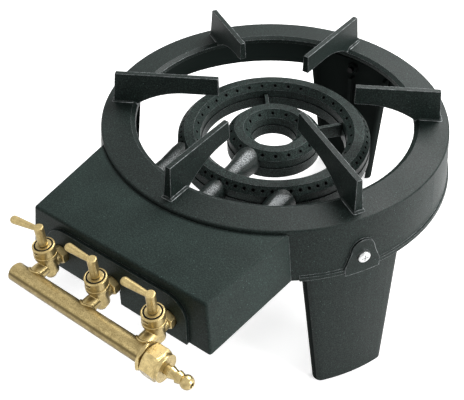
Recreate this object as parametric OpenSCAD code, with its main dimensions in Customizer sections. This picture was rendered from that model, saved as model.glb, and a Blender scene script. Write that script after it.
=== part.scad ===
// Cast-iron boiling ring on three legs with a double ring burner, a gas box,
// three lever taps and a brass gas rail. Front is -Y, up is +Z, the floor is z = 0.

/* [Stand] */
// Floor to the top of the flange
stand_h = 233; // [200:1:285]
// Outer radius of the flange
ring_r = 200; // [196:1:212]
// Width of the flange from its outer edge to the opening
flange_w = 38.6; // [34:0.2:42]
// Thickness of the flange
flange_t = 8; // [6:0.5:10]
// Width of the bevel along the opening
bevel_w = 5; // [3:0.5:7]
// Height of the bevel along the opening
bevel_h = 3; // [1:0.5:5]
// Rounding of the flange's outer edge
flange_round = 2; // [1:0.5:3]
// Wall thickness of the castings
wall_t = 4.6; // [4:0.2:6]
// Flange top down to the bottom of the ring wall
skirt_h = 63.4; // [58:0.2:70]
// Outward slope of the walls, degrees from upright
flare = 7.5; // [6.5:0.5:7.5]
// Height of the bead along the ring wall's lower edge
bead_h = 7; // [5:0.5:9]
// How far the bead stands out
bead_out = 1.6; // [1:0.2:2.4]
// Fillet under the flange
fillet = 5; // [3:0.5:7]

/* [Pan ribs] */
// Rib top above the flange
rib_rise = 37; // [28:1:45]
// Rib underside above the flange at its inner end
rib_under = 15.5; // [12:0.5:20]
// Inner end of the long ribs, from the ring's centre
long_rib_r = 65; // [55:1:80]
// Inner end of the short ribs, from the ring's centre
short_rib_r = 91; // [82:1:100]
// Flange's edge to the outer end of a rib's top
rib_top_inset = 15; // [12:1:22]
// Flange's edge to the outer end of a rib's foot
rib_foot_inset = 10; // [5:1:11]
// Start of the arch under a rib
arch_r = 104; // [102:1:112]
// Rib thickness at the top
rib_top_t = 6; // [4:0.5:8]
// Rib thickness at the foot
rib_foot_t = 9.6; // [8:0.2:11]

/* [Legs] */
// Half the leg's width just below the ring wall
leg_half_top = 57; // [52:0.5:62]
// Half the leg's width at the floor
leg_half_foot = 44; // [36:0.5:50]
// Outward slope of the legs, degrees from upright
leg_flare = 5.8; // [4.5:0.1:6.5]
// Flange top down to the top of the legs
leg_drop = 32; // [28:0.5:36]
// Turn of the legs and pan ribs against the box, degrees
ring_turn = -1; // [-2:0.5:2]
// Depth of the legs' sides at the top
leg_depth_top = 17; // [15:0.5:22]
// Depth of the legs' sides at the floor
leg_depth_foot = 14.5; // [13:0.5:18]
// How far a side leans in over its depth
side_lean = 2; // [0.5:0.5:4]
// Rounding of the legs' outer corners
leg_round = 9; // [7:0.5:10]
// Depth of the rib down the inside of a leg
spine_depth = 9; // [5:0.5:10]
// Screw line below the flange top
screw_drop = 45; // [43:0.5:47]
// Half the lug's width at its foot
lug_half = 20; // [18:0.5:23]
// Radius of the lug's arched top
lug_round = 13.5; // [12:0.5:15]
// How far a lug stands out of the ring wall
lug_out = 2.6; // [2:0.2:3.4]

/* [Gas box] */
// Ring centre to the box's front at the top
box_reach = 271.3; // [266:0.5:282]
// Half the box's width at the front
box_half = 108.7; // [104:0.5:112]
// Half the box's width where it meets the ring wall
box_half_rear = 121.9; // [120:0.1:124]
// Ring centre to the line where that width holds
box_meet = 161; // [155:1:165]
// Flange top down to the box's top
box_drop = 4; // [2:0.5:6]
// Height of the box
box_h = 58; // [52:0.5:59]
// Rounding of the box's edges
box_round = 3; // [2:0.5:4]
// Half the front pad's width at its top
pad_half = 89.5; // [86:0.5:91]
// Half the front pad's width at its bottom
pad_half_foot = 91.5; // [91:0.5:96]
// Box top down to the pad's top
pad_drop = 9.5; // [7:0.5:13]
// Thickness of the front pad
pad_t = 3.4; // [2:0.2:5]
// Rounding of the pad's top corners
pad_round = 24; // [14:1:26]
// Half the width of the notch in the front
notch_half = 9; // [7:0.5:11]
// Height of the notch
notch_h = 17; // [12:0.5:19]

/* [Burners] */
// Flange top down to the burners' flat tops
burner_drop = 27; // [23:0.5:31]
// Height of the bevels with the flame ports
port_bevel_h = 8; // [7:0.2:9]
// Flat top down to the seam under the caps
cap_h = 18.4; // [17:0.2:20]
// Flat top down to the underside of the burners
burner_h = 31.5; // [29:0.5:34]
// Outer burner, outer radius
outer_out_r = 115; // [114:0.5:118]
// Outer burner, width of its section
outer_w = 27; // [25:0.5:29]
// Outer burner, width of its bevels
outer_bevel_w = 8; // [7:0.5:9]
// Inner burner, outer radius
inner_out_r = 55.5; // [54:0.5:57]
// Inner burner, width of its section
inner_w = 27.5; // [26:0.5:29]
// Inner burner, width of its bevels
inner_bevel_w = 8.5; // [7.5:0.5:9.5]
// Wall thickness of the burner castings
burner_t = 3.2; // [2.6:0.2:3.6]
// Width of the ledge along the caps' seam
ledge = 1; // [0.4:0.2:1.4]
// Radius of a flame port
port_r = 1.8; // [1.2:0.1:2]
// Places for ports round the outer burner's outer bevel
outer_ports = 68; // [48:4:72]
// Places for ports round the outer burner's inner bevel
outer_inside_ports = 34; // [24:2:36]
// Ports round the inner burner's outer bevel
inner_ports = 21; // [15:1:24]
// Ports round the inner burner's inner bevel
inner_inside_ports = 12; // [8:1:14]
// Thickness of the bridges between the burners
bridge_t = 4; // [3:0.5:6]
// Bridge tops below the burners' flat tops
bridge_drop = 13; // [11:0.5:16]
// Radius of the mixing tubes
tube_r = 12.5; // [11.5:0.1:12.8]
// Wall thickness of the mixing tubes
tube_t = 3.5; // [3:0.5:4.5]
// Radius of the tubes where they join the outer burner
tube_flare_r = 15; // [13.5:0.5:15.5]
// Radius of the middle tube where it joins the inner burner
inlet_r = 16; // [14:0.5:16.5]
// Length over which a tube widens
tube_flare_l = 24; // [18:1:26]
// Flange top down to the tubes' line
tube_drop = 43.8; // [43:0.2:45]
// Box front to the mouths of the tubes
mouth_gap = 24; // [20:1:34]

/* [Taps] */
// Distance from tap to tap
tap_pitch = 69; // [64:0.5:72]
// Box front to the taps' spindles
tap_stand = 25.7; // [24.7:0.1:28.7]
// Flange top down to the gas line
gas_drop = 40.5; // [39:0.5:42]
// Radius of a tap's body at the gas line
tap_r = 8.8; // [8.4:0.1:9.4]
// Radius of a tap's lower end
tap_tip_r = 6; // [5:0.5:7]
// Gas line down to the tap's lower end
tap_below = 18; // [16:0.5:20]
// Gas line up to the shoulder of the body
tap_above = 17; // [16:0.5:18]
// Radius of the body's shoulder
shoulder_r = 11.4; // [11.2:0.1:12.4]
// Height of the body's shoulder
shoulder_h = 4; // [3:0.5:5]
// Radius of the bonnet
bonnet_r = 11; // [10.6:0.1:11.2]
// Height of the bonnet
bonnet_h = 10.5; // [10:0.5:12]
// Wall of the bonnet outside its groove
groove_wall = 1.8; // [1.4:0.1:2.4]
// Width of the groove in the bonnet's top
groove_w = 1.4; // [1:0.1:3]
// Radius of the plug at the gas line
plug_r = 5.4; // [5:0.1:5.6]
// Radius of the spindle
spindle_r = 3; // [2.8:0.1:3.2]
// Bonnet top to the underside of the lever's stem
stem_gap = 1; // [0.5:0.1:2]
// Radius of the lever's stem
stem_r = 4.6; // [4.4:0.1:4.8]
// Height of the lever's stem
stem_h = 23; // [20:0.5:26]
// Stem top down to the lever's line
lever_drop = 3.4; // [3:0.2:4.4]
// Spindle to the end of the lever
lever_l = 33; // [28:0.5:34]
// Lever radius next to the hub
lever_neck_r = 2.5; // [2:0.1:3]
// Lever radius at the end
lever_end_r = 4.2; // [3.4:0.1:4.4]
// Upward slope of the lever, degrees
lever_rise = 0; // [-4:1:8]
// How far each lever stands off its closed stop, degrees
lever_turns = [9, 0, 1]; // [0:1:20]
// Radius of a tap's outlet thread
outlet_r = 5; // [4.5:0.1:5.4]
// Outlet nuts, across flats
outlet_af = 17; // [16:0.5:18]
// Outlet nuts, thickness
outlet_nut_t = 7.5; // [6.5:0.5:8]

/* [Gas rail] */
// Taps' spindles to the rail's line
rail_gap = 25; // [24:0.5:27]
// Radius of the rail
rail_r = 9.6; // [9:0.1:10.5]
// Wall thickness of the rail
rail_t = 1.8; // [1.4:0.2:2.4]
// Left tap's spindle to the rail's closed end
rail_past = 20; // [17:0.5:27]
// Radius of the branches from the rail to the taps and the nuts
branch_r = 7.4; // [7:0.1:7.8]
// Right tap's spindle to the locknut
locknut_gap = 9; // [8.5:0.5:11]
// Locknut, across flats
locknut_af = 25.5; // [24:0.5:27]
// Locknut, thickness
locknut_t = 4; // [3:0.5:5]
// Union nut, across flats
union_af = 27.5; // [26:0.5:29]
// Union nut, length of its hexagon
union_l = 15; // [13:0.5:17]
// Length of the union nut's round end
union_round_l = 4; // [3:0.5:6]
// Radius of the union nut's round end
union_round_r = 13.1; // [12:0.1:13.4]
// Hose tail, length outside the union nut
tail_l = 29; // [26:0.5:34]
// Hose tail, radius of its neck
tail_r = 4.6; // [4.2:0.1:5]
// Hose tail, radius of its barbs
barb_r = 6; // [5.6:0.1:6.4]
// Hose tail, radius of its round end
tail_ball_r = 6.6; // [6.2:0.1:7.2]
// Hose tail, radius of its bore
tail_bore_r = 2.6; // [2:0.1:3.2]

/* [Hardware] */
// Radius of the leg screws' shanks
screw_r = 4; // [3.5:0.1:4.4]
// Radius of the leg screws' heads
screw_head_r = 7; // [6.5:0.1:7.5]
// Height of the leg screws' heads
screw_head_h = 4.6; // [3.6:0.2:5]
// Length of the leg screws' shanks
screw_l = 22; // [20:0.5:26]
// Leg nuts, across flats
leg_nut_af = 13; // [12.5:0.5:14]
// Leg nuts, thickness
leg_nut_t = 6.5; // [5.5:0.5:7]

/* [Clearances] */
// Gap between cast parts that fit together
cast_gap = 0.3; // [0.2:0.05:0.4]
// Gap round screws in their holes
screw_gap = 0.4; // [0.2:0.1:0.5]
// Running gap round the spindles and plugs
run_gap = 0.1; // [0.06:0.01:0.14]
// Gap between threads that screw together
thread_gap = 0.15; // [0.1:0.05:0.2]

/* [Hidden] */
// Finish of curved surfaces
$fn = 96;
// Overrun of cutting shapes past the surface they cut
over = 1;
// Thickness of the slices that sloping shapes are spanned between
slice = 0.02;
slope = tan(flare);
flange_z = stand_h;
opening_r = ring_r - flange_w;
rib_top_r = ring_r - rib_top_inset;
rib_foot_r = ring_r - rib_foot_inset;
tap_reach = box_reach + tap_stand;
rail_left = tap_pitch + rail_past;
locknut_x = tap_pitch + locknut_gap;
outer_in_r = outer_out_r - outer_w;
outer_flat_in_r = outer_in_r + outer_bevel_w;
outer_flat_out_r = outer_out_r - outer_bevel_w;
inner_in_r = inner_out_r - inner_w;
inner_flat_in_r = inner_in_r + inner_bevel_w;
inner_flat_out_r = inner_out_r - inner_bevel_w;
skirt_z = stand_h - skirt_h;
gas_z = stand_h - gas_drop;
tube_z = stand_h - tube_drop;
// Turn of the union nut's hexagon, degrees
union_turn = -15;
leg_angles = [for (angle = [-30, 90, 210]) angle + ring_turn];
// Slope of the cut across the top of the legs' sides, degrees
leg_cut = 30;
// Radius of a nut's flat end, as a share of its width across flats
nut_end_share = 0.485;
// Slope of the turned corners of the nuts, degrees
nut_turning = 30;
tap_xs = [-tap_pitch, 0, tap_pitch];

iron = [0.16, 0.18, 0.17];
steel = [0.80, 0.80, 0.78];
gold = [0.72, 0.60, 0.33];

// Radius of the ring wall's outer face at a height above the floor
function wall_r(z) = ring_r + (flange_z - z) * slope;

// Height above the floor of the legs' tops, and their outer radius there
leg_top = flange_z - leg_drop;
leg_top_r = wall_r(leg_top) - wall_t - cast_gap;

// Radius of the legs' outer faces at a height above the floor
function leg_r(z) = leg_top_r + (leg_top - z) * tan(leg_flare);

// How far the object reaches to front and rear of the ring's centre
front_reach = tap_reach + rail_gap + union_af / sqrt(3) * cos(union_turn);
back_reach = (leg_r(0) - leg_round) * cos(ring_turn) + leg_round;
// Ring's centre behind the middle of the object's floor area
axis_y = (front_reach - back_reach) / 2;

// Height above the floor of the screws through ring and legs
screw_z = flange_z - screw_drop;
// Corner radius of the leg nuts
nut_corner_r = leg_nut_af / sqrt(3);
// Plane that the leg screws' heads bear on, from the ring's centre
head_seat = wall_r(screw_z) + lug_out - screw_head_r * slope - cast_gap;
// Plane that the leg nuts bear on, from the ring's centre
nut_seat = leg_r(screw_z - nut_corner_r) - wall_t;

// Solid cone within the ring wall's outer face, grown by a gap
module ring_form(gap) {
    translate([0, 0, -over])
        cylinder(h = flange_z + 2 * over, r1 = wall_r(-over) + gap,
                 r2 = wall_r(flange_z + over) + gap);
}

// Straight rod along +Y from one station to another
module rod_y(x, from_y, to_y, z, r) {
    translate([x, to_y, z])
        rotate([90, 0, 0])
            cylinder(h = to_y - from_y, r = r);
}

// Hexagonal bar along +Z, flats facing X
module hex_bar(across, height) {
    rotate([0, 0, 30])
        cylinder(h = height, r = across / sqrt(3), $fn = 6);
}

// Hexagonal nut blank with its corners turned off at both ends
module nut_blank(across, height) {
    corner = across / sqrt(3);
    end_r = across * nut_end_share;
    drop = (corner - end_r) * tan(nut_turning);
    intersection() {
        hex_bar(across, height);
        rotate_extrude()
            polygon([
                [0, 0],
                [end_r, 0],
                [corner, drop],
                [corner, height - drop],
                [end_r, height],
                [0, height]
            ]);
    }
}

// Radial screw hole with its spot faces outside and inside
module screw_hole(angle) {
    rotate([0, 0, angle - 90]) {
        rod_y(0, nut_seat - flange_t, head_seat + flange_t, screw_z,
              screw_r + screw_gap);
        rod_y(0, head_seat, head_seat + flange_t, screw_z,
              screw_head_r + screw_gap);
        rod_y(0, nut_seat - flange_t, nut_seat, screw_z,
              nut_corner_r + screw_gap);
    }
}

module ring_profile() {
    under_z = flange_z - flange_t;
    foot_z = skirt_z + bead_h / 8;
    in_r = ring_r - wall_t;
    edge_r = wall_r(flange_z - flange_round);
    polygon([
        [opening_r, flange_z - bevel_h],
        [opening_r + bevel_w, flange_z],
        [edge_r - flange_round, flange_z],
        [edge_r, flange_z - flange_round],
        [wall_r(foot_z), foot_z],
        [wall_r(foot_z) - wall_t, foot_z],
        [wall_r(under_z - fillet) - wall_t, under_z - fillet],
        [in_r - fillet, under_z],
        [opening_r, under_z]
    ]);
    translate([edge_r - flange_round, flange_z - flange_round])
        circle(r = flange_round);
}

module bead_profile() {
    low_r = wall_r(skirt_z);
    top_z = skirt_z + bead_h;
    polygon([
        [low_r - wall_t / 2, skirt_z],
        [low_r + bead_out / 2, skirt_z],
        [low_r + bead_out, skirt_z + bead_out],
        [wall_r(top_z - bead_out) + bead_out, top_z - bead_out],
        [wall_r(top_z), top_z],
        [wall_r(top_z) - wall_t / 2, top_z]
    ]);
}

// Arched outline of a lug, seen from outside, foot at zero
module lug_outline() {
    arch = screw_z - skirt_z + screw_head_r;
    translate([0, arch])
        circle(r = lug_round);
    polygon([
        [-lug_half, -bead_out],
        [lug_half, -bead_out],
        [lug_half, bead_h + bead_out],
        [lug_round, arch],
        [-lug_round, arch],
        [-lug_half, bead_h + bead_out]
    ]);
}

module lug(angle) {
    rotate([0, 0, angle - 90])
        intersection() {
            difference() {
                ring_form(lug_out);
                ring_form(-wall_t / 2);
            }
            translate([0, wall_r(0), skirt_z])
                rotate([90, 0, 0])
                    linear_extrude(wall_r(0))
                        lug_outline();
        }
}

module ring() {
    box_angle = asin((box_half_rear + skirt_h * slope) / ring_r);
    color(iron)
        difference() {
            union() {
                rotate_extrude()
                    ring_profile();
                rotate([0, 0, box_angle - 90])
                    rotate_extrude(angle = 360 - 2 * box_angle)
                        bead_profile();
                for (angle = leg_angles)
                    lug(angle);
            }
            for (x = tap_xs)
                rod_y(x, -wall_r(0), -opening_r, tube_z, tube_r + cast_gap);
            for (angle = leg_angles)
                screw_hole(angle);
        }
}

// One upright rib of the pan support
module pan_rib(angle, inner_r) {
    arch_run = opening_r - bevel_h - arch_r;
    arch_big = (arch_run * arch_run + rib_under * rib_under) / (2 * rib_under);
    lean = atan((rib_foot_t - rib_top_t) / 2 / rib_rise);
    color(iron)
        rotate([0, 0, angle])
            difference() {
                translate([0, rib_foot_t, flange_z])
                    rotate([90, 0, 0])
                        linear_extrude(2 * rib_foot_t)
                            difference() {
                                polygon([
                                    [inner_r, rib_under],
                                    [arch_r, rib_under],
                                    [arch_r, -bevel_h],
                                    [rib_foot_r, -bevel_h],
                                    [rib_foot_r, 0],
                                    [rib_top_r, rib_rise],
                                    [inner_r, rib_rise]
                                ]);
                                translate([arch_r, rib_under - arch_big])
                                    circle(r = arch_big, $fn = 192);
                            }
                for (side = [-1, 1])
                    translate([0, side * rib_foot_t / 2, flange_z])
                        rotate([side * lean, 0, 0])
                            translate([0, side * rib_foot_t - rib_foot_t, -rib_rise])
                                cube([ring_r, 2 * rib_foot_t, 3 * rib_rise]);
                rotate_extrude()
                    ring_profile();
            }
}

// Plan of the box at its top, grown outward by a distance
function box_plan(grow) = [
    [-box_half - grow, -box_reach - grow],
    [box_half + grow, -box_reach - grow],
    [box_half_rear + box_splay * box_tuck + grow, box_tuck - box_meet],
    [-box_half_rear - box_splay * box_tuck - grow, box_tuck - box_meet]
];

// Height of the box's top and bottom above the floor
box_top = flange_z - box_drop;
box_low = box_top - box_h;
// How much the box's sides spread per length towards the ring
box_splay = (box_half_rear - box_half) / (box_reach - box_meet);
// How far the box's outline runs on under the flange before it is cut
box_tuck = 5 * flange_t;

// Rounded, sloping outside of the box
module box_outside() {
    low = box_h * slope;
    hull() {
        for (side = [-1, 1]) {
            translate([side * (box_half - box_round), box_round - box_reach,
                       box_top - box_round])
                sphere(r = box_round, $fn = 32);
            translate([side * (box_half + low - box_round),
                       box_round - box_reach - low, box_low])
                cylinder(h = slice, r = box_round, $fn = 32);
            translate([side * (box_plan(0)[2][0] - box_round),
                       box_plan(0)[2][1], box_top - box_round])
                sphere(r = box_round, $fn = 32);
            translate([side * (box_plan(low)[2][0] - box_round),
                       box_plan(0)[2][1], box_low])
                cylinder(h = slice, r = box_round, $fn = 32);
        }
    }
}

// Sloping hollow of the box, open below
module box_inside() {
    low = (box_h + over) * slope;
    hull() {
        translate([0, 0, box_top - wall_t - slice])
            linear_extrude(slice)
                polygon(box_plan(-wall_t));
        translate([0, 0, box_low - over])
            linear_extrude(slice)
                polygon(box_plan(low - wall_t));
    }
}

// Plane the outlet nuts bear on outside, and the injectors inside
pad_seat = -box_reach - pad_t - (box_top - gas_z - outlet_af / sqrt(3)) * slope;
jet_seat = -box_reach + wall_t - (box_top - gas_z + outlet_af / sqrt(3)) * slope;

module pad_outline() {
    deep = box_h / cos(flare) + over;
    for (side = [-1, 1])
        translate([side * (pad_half - pad_round), -pad_drop - pad_round])
            circle(r = pad_round);
    polygon([
        [pad_round - pad_half, -pad_drop],
        [pad_half - pad_round, -pad_drop],
        [pad_half, -pad_drop - pad_round],
        [pad_half_foot, -deep],
        [-pad_half_foot, -deep],
        [-pad_half, -pad_drop - pad_round]
    ]);
}

module gas_box() {
    color(iron)
        difference() {
            union() {
                box_outside();
                translate([0, over - box_reach, box_top])
                    rotate([-flare, 0, 0])
                        rotate([90, 0, 0])
                            linear_extrude(pad_t + over)
                                pad_outline();
            }
            box_inside();
            ring_form(cast_gap);
            translate([-ring_r, -2 * ring_r, box_low - skirt_h])
                cube([2 * ring_r, 2 * ring_r, skirt_h]);
            translate([0, -box_reach + wall_t, box_low])
                rotate([90, 0, 0])
                    linear_extrude(2 * flange_t + wall_t)
                        notch_outline();
            for (x = tap_xs) {
                rod_y(x, pad_seat - flange_t, jet_seat + flange_t, gas_z,
                      outlet_r + screw_gap);
                rod_y(x, pad_seat - flange_t, pad_seat, gas_z,
                      outlet_af / sqrt(3) + screw_gap);
                rod_y(x, jet_seat, jet_seat + flange_t, gas_z,
                      outlet_af / sqrt(3));
            }
        }
}

module notch_outline() {
    round_r = notch_half / 3;
    for (side = [-1, 1])
        translate([side * (notch_half - round_r), notch_h - round_r])
            circle(r = round_r);
    polygon([
        [-notch_half - over, -over],
        [notch_half + over, -over],
        [notch_half, notch_h - round_r],
        [notch_half - round_r, notch_h],
        [round_r - notch_half, notch_h],
        [-notch_half, notch_h - round_r]
    ]);
}

// Heights of the burners' flat tops, seams and undersides
burner_top = flange_z - burner_drop;
burner_seam = burner_top - cap_h;
burner_low = burner_top - burner_h;
// Angles of the bridges, degrees
bridge_angles = [50, 130];
// Lean of the ports from upright, degrees
port_lean = 45;
// Angles at which the rows of ports start, degrees
outer_start = 90.6;
inner_start = -3;
inner_inside_start = 6;

// Bevelled outline of a burner cap's outside
module cap_outline(in_r, flat_in, flat_out, out_r) {
    polygon([
        [in_r, burner_seam],
        [in_r, burner_top - port_bevel_h],
        [flat_in, burner_top],
        [flat_out, burner_top],
        [out_r, burner_top - port_bevel_h],
        [out_r, burner_seam]
    ]);
}

// Gas space under a burner cap
module cap_space(in_r, flat_in, flat_out, out_r) {
    shift = burner_t * tan(port_lean / 2);
    polygon([
        [in_r + burner_t, burner_seam - over],
        [in_r + burner_t, burner_top - port_bevel_h - shift],
        [flat_in + shift, burner_top - burner_t],
        [flat_out - shift, burner_top - burner_t],
        [out_r - burner_t, burner_top - port_bevel_h - shift],
        [out_r - burner_t, burner_seam - over]
    ]);
}

// Ports drilled square to the outer or the inner bevel of a cap
module ports(places, bevel_r, lean, start, count) {
    for (i = [0 : count - 1])
        rotate([0, 0, start + i * 360 / places])
            translate([bevel_r, 0, burner_top - port_bevel_h / 2])
                rotate([0, lean, 0])
                    translate([0, 0, -2 * burner_t])
                        cylinder(h = 4 * burner_t, r = port_r, $fn = 24);
}

// Everything a tube must stay clear of in one burner
module burner_form(in_r, flat_in, flat_out, out_r) {
    rotate_extrude()
        difference() {
            union() {
                cap_outline(in_r - cast_gap, flat_in, flat_out, out_r + cast_gap);
                translate([in_r - ledge - cast_gap, burner_low - flange_t])
                    square([out_r - in_r + 2 * ledge + 2 * cast_gap,
                            burner_h - cap_h + flange_t]);
            }
        }
}

module burner_base(in_r, out_r) {
    rotate_extrude()
        difference() {
            translate([in_r - ledge, burner_low])
                square([out_r - in_r + 2 * ledge, burner_seam - burner_low]);
            translate([in_r + burner_t, burner_low + burner_t])
                square([out_r - in_r - 2 * burner_t, burner_h]);
        }
}

module outer_burner_base() {
    color(iron)
        difference() {
            burner_base(outer_in_r, outer_out_r);
            tube_cuts();
        }
}

module outer_burner_cap() {
    color(iron)
        difference() {
            rotate_extrude()
                difference() {
                    cap_outline(outer_in_r, outer_flat_in_r, outer_flat_out_r,
                                outer_out_r);
                    cap_space(outer_in_r, outer_flat_in_r, outer_flat_out_r,
                              outer_out_r);
                }
            tube_cuts();
            ports(outer_ports, (outer_flat_out_r + outer_out_r) / 2,
                  port_lean, outer_start, outer_ports);
            ports(outer_inside_ports, (outer_flat_in_r + outer_in_r) / 2,
                  -port_lean, outer_start + 360 / outer_inside_ports,
                  outer_inside_ports - 1);
        }
}

// Where the mixing tubes enter or cross the outer burner
module tube_cuts() {
    rod_y(0, -outer_out_r - flange_t, flange_t - outer_in_r, tube_z,
          tube_r + cast_gap);
    for (x = [-tap_pitch, tap_pitch])
        rod_y(x, -outer_out_r, -outer_in_r + 2 * flange_t, tube_z,
              tube_r - tube_t);
}

module inner_burner_base() {
    color(iron)
        difference() {
            burner_base(inner_in_r, inner_out_r);
            rod_y(0, -inner_out_r - flange_t, -inner_flat_out_r, tube_z,
                  tube_r - tube_t);
        }
}

module inner_burner_cap() {
    color(iron)
        difference() {
            rotate_extrude()
                difference() {
                    cap_outline(inner_in_r, inner_flat_in_r, inner_flat_out_r,
                                inner_out_r);
                    cap_space(inner_in_r, inner_flat_in_r, inner_flat_out_r,
                              inner_out_r);
                }
            rod_y(0, -inner_out_r - flange_t, -inner_flat_out_r, tube_z,
                  tube_r - tube_t);
            ports(inner_ports, (inner_flat_out_r + inner_out_r) / 2,
                  port_lean, inner_start, inner_ports);
            ports(inner_inside_ports, (inner_flat_in_r + inner_in_r) / 2,
                  -port_lean, inner_inside_start, inner_inside_ports);
        }
}

module outer_form() {
    burner_form(outer_in_r, outer_flat_in_r, outer_flat_out_r, outer_out_r);
}

module inner_form() {
    burner_form(inner_in_r, inner_flat_in_r, inner_flat_out_r, inner_out_r);
}

module burner_bridges() {
    color(iron)
        difference() {
            for (angle = bridge_angles)
                rotate([0, 0, angle])
                    translate([inner_flat_out_r, -bridge_t / 2,
                               burner_low + ledge])
                        cube([outer_flat_in_r - inner_flat_out_r, bridge_t,
                              burner_h - bridge_drop - ledge]);
            inner_form();
            outer_form();
        }
}

// Cone and rod along +Y that widen a tube towards a burner
module tube_flare(x, join_y, end_y, big_r) {
    translate([x, join_y - tube_flare_l, tube_z])
        rotate([-90, 0, 0])
            cylinder(h = tube_flare_l, r1 = tube_r, r2 = big_r);
    rod_y(x, join_y, end_y, tube_z, big_r);
}

module side_tube(x) {
    mouth_y = mouth_gap - box_reach;
    join_y = -sqrt(outer_out_r * outer_out_r - x * x);
    color(iron)
        difference() {
            union() {
                rod_y(x, mouth_y, join_y + flange_t, tube_z, tube_r);
                tube_flare(x, join_y, join_y + flange_t, tube_flare_r);
            }
            outer_form();
            tube_bore(x, mouth_y);
        }
}

module middle_tube() {
    mouth_y = mouth_gap - box_reach;
    color(iron)
        difference() {
            union() {
                rod_y(0, mouth_y, -inner_flat_out_r, tube_z, tube_r);
                tube_flare(0, -inner_out_r, -inner_flat_out_r, inlet_r);
            }
            inner_form();
            tube_bore(0, mouth_y);
        }
}

// Bore of a mixing tube with its wide mouth
module tube_bore(x, mouth_y) {
    bore_r = tube_r - tube_t;
    rod_y(x, mouth_y - over, 0, tube_z, bore_r);
    translate([x, mouth_y - over, tube_z])
        rotate([-90, 0, 0])
            cylinder(h = tube_t + over, r1 = tube_r - over, r2 = bore_r);
}

// Outline of a leg between floor and top, made slimmer by an inset
module leg_form(inset, out) {
    hull()
        for (level = [0, 1]) {
            z = level == 0 ? -inset : leg_top - slice + inset;
            share = z / skirt_z;
            half = leg_half_foot + (leg_half_top - leg_half_foot) * share;
            depth = leg_depth_foot + (leg_depth_top - leg_depth_foot) * share;
            lean = side_lean * depth / leg_depth_top;
            post_r = leg_round - inset;
            round_c = leg_r(z) - leg_round;
            fan = asin((half - leg_round) / round_c);
            for (i = [-4 : 4])
                rotate([0, 0, -fan * i / 4])
                    translate([0, round_c, z])
                        cylinder(h = slice, r = post_r, $fn = 32);
            for (side = [-1, 1])
                translate([side * (half - lean - inset - slice),
                           round_c * cos(fan) + leg_round - depth - out, z])
                    cylinder(h = slice, r = slice, $fn = 8);
        }
}

module leg(angle) {
    color(iron)
        difference() {
            rotate([0, 0, angle - 90])
                difference() {
                    leg_form(0, 0);
                    difference() {
                        leg_form(wall_t, wall_t);
                        spine();
                    }
                    translate([-ring_r / 2, ring_r - wall_t - leg_round, leg_top])
                        rotate([leg_cut, 0, 0])
                            translate([0, -ring_r, 0])
                                cube([ring_r, ring_r, ring_r]);
                }
            screw_hole(angle);
        }
}

// Solid cone within the legs' outer faces, made slimmer by an inset
module leg_cone(inset) {
    translate([0, 0, -over])
        cylinder(h = leg_top + 2 * over, r1 = leg_r(-over) - inset,
                 r2 = leg_r(leg_top + over) - inset);
}

// Rib down the middle of a leg's inside
module spine() {
    intersection() {
        difference() {
            leg_cone(0);
            leg_cone(wall_t + spine_depth);
        }
        translate([-wall_t / 2, 0, -over])
            cube([wall_t, wall_r(0), screw_z - 2 * nut_corner_r + over]);
    }
}

// The three leg screws, heads outward
module leg_screws() {
    edge = screw_head_h / 2;
    color(steel)
        for (angle = leg_angles)
            rotate([0, 0, angle - 90])
                translate([0, head_seat, screw_z])
                    rotate([-90, 0, 0]) {
                        translate([0, 0, -screw_l])
                            cylinder(h = screw_l + over, r = screw_r);
                        difference() {
                            rotate_extrude() {
                                square([screw_head_r, edge]);
                                square([screw_head_r - edge, screw_head_h]);
                                translate([screw_head_r - edge, edge])
                                    circle(r = edge);
                            }
                            for (turn = [0, 90])
                                rotate([0, 0, turn])
                                    translate([-screw_r, -screw_gap, edge])
                                        cube([2 * screw_r, 2 * screw_gap, edge + over]);
                        }
                    }
}

module leg_nuts() {
    color(steel)
        for (angle = leg_angles)
            rotate([0, 0, angle - 90])
                translate([0, nut_seat, screw_z])
                    rotate([90, 0, 0])
                        difference() {
                            nut_blank(leg_nut_af, leg_nut_t);
                            translate([0, 0, -over])
                                cylinder(h = leg_nut_t + 2 * over,
                                         r = screw_r + thread_gap);
                        }
}

// Stations of a tap along its spindle, counted from the gas line
plug_low = -tap_r;
plug_top = tap_above - bonnet_h / 4;
stem_low = tap_above + bonnet_h + stem_gap;
// Taper of the plugs, radius per height
plug_taper = 0.1;
// Gas way through a plug, as a share of the plug's radius
port_share = 0.45;

// Puts a tap's piece in its place
module at_tap(x) {
    translate([x, -tap_reach, gas_z])
        children();
}

module tap_body(x) {
    waist = tap_above - shoulder_h;
    neck_l = tap_reach + pad_seat - outlet_nut_t;
    outlet_l = tap_reach + jet_seat + outlet_nut_t;
    color(gold)
        at_tap(x)
            difference() {
                union() {
                    rotate_extrude() {
                        polygon([
                            [0, tap_tip_r - tap_below],
                            [tap_tip_r, tap_tip_r - tap_below],
                            [tap_r, -tap_r],
                            [tap_r, waist - over],
                            [shoulder_r, waist],
                            [shoulder_r, tap_above],
                            [0, tap_above]
                        ]);
                        intersection() {
                            translate([0, tap_tip_r - tap_below])
                                circle(r = tap_tip_r);
                            translate([0, -2 * tap_below])
                                square([tap_r, 2 * tap_below]);
                        }
                    }
                    rod_y(0, 0, outlet_l, 0, outlet_r);
                    rod_y(0, 0, neck_l, 0, branch_r);
                    translate([0, -rail_gap, 0])
                        rotate([-90, 0, 0])
                            cylinder(h = rail_gap, r1 = branch_r + over,
                                     r2 = branch_r);
                }
                translate([-2 * branch_r, -rail_gap, 0])
                    rotate([0, 90, 0])
                        cylinder(h = 4 * branch_r, r = rail_r + cast_gap);
                translate([0, 0, plug_low - run_gap])
                    cylinder(h = tap_above - plug_low + run_gap + over,
                             r1 = plug_r + (plug_low - run_gap) * plug_taper + run_gap,
                             r2 = plug_r + (tap_above + over) * plug_taper + run_gap);
                rod_y(0, -rail_gap, outlet_l + over, 0, plug_r * port_share);
            }
}

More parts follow.
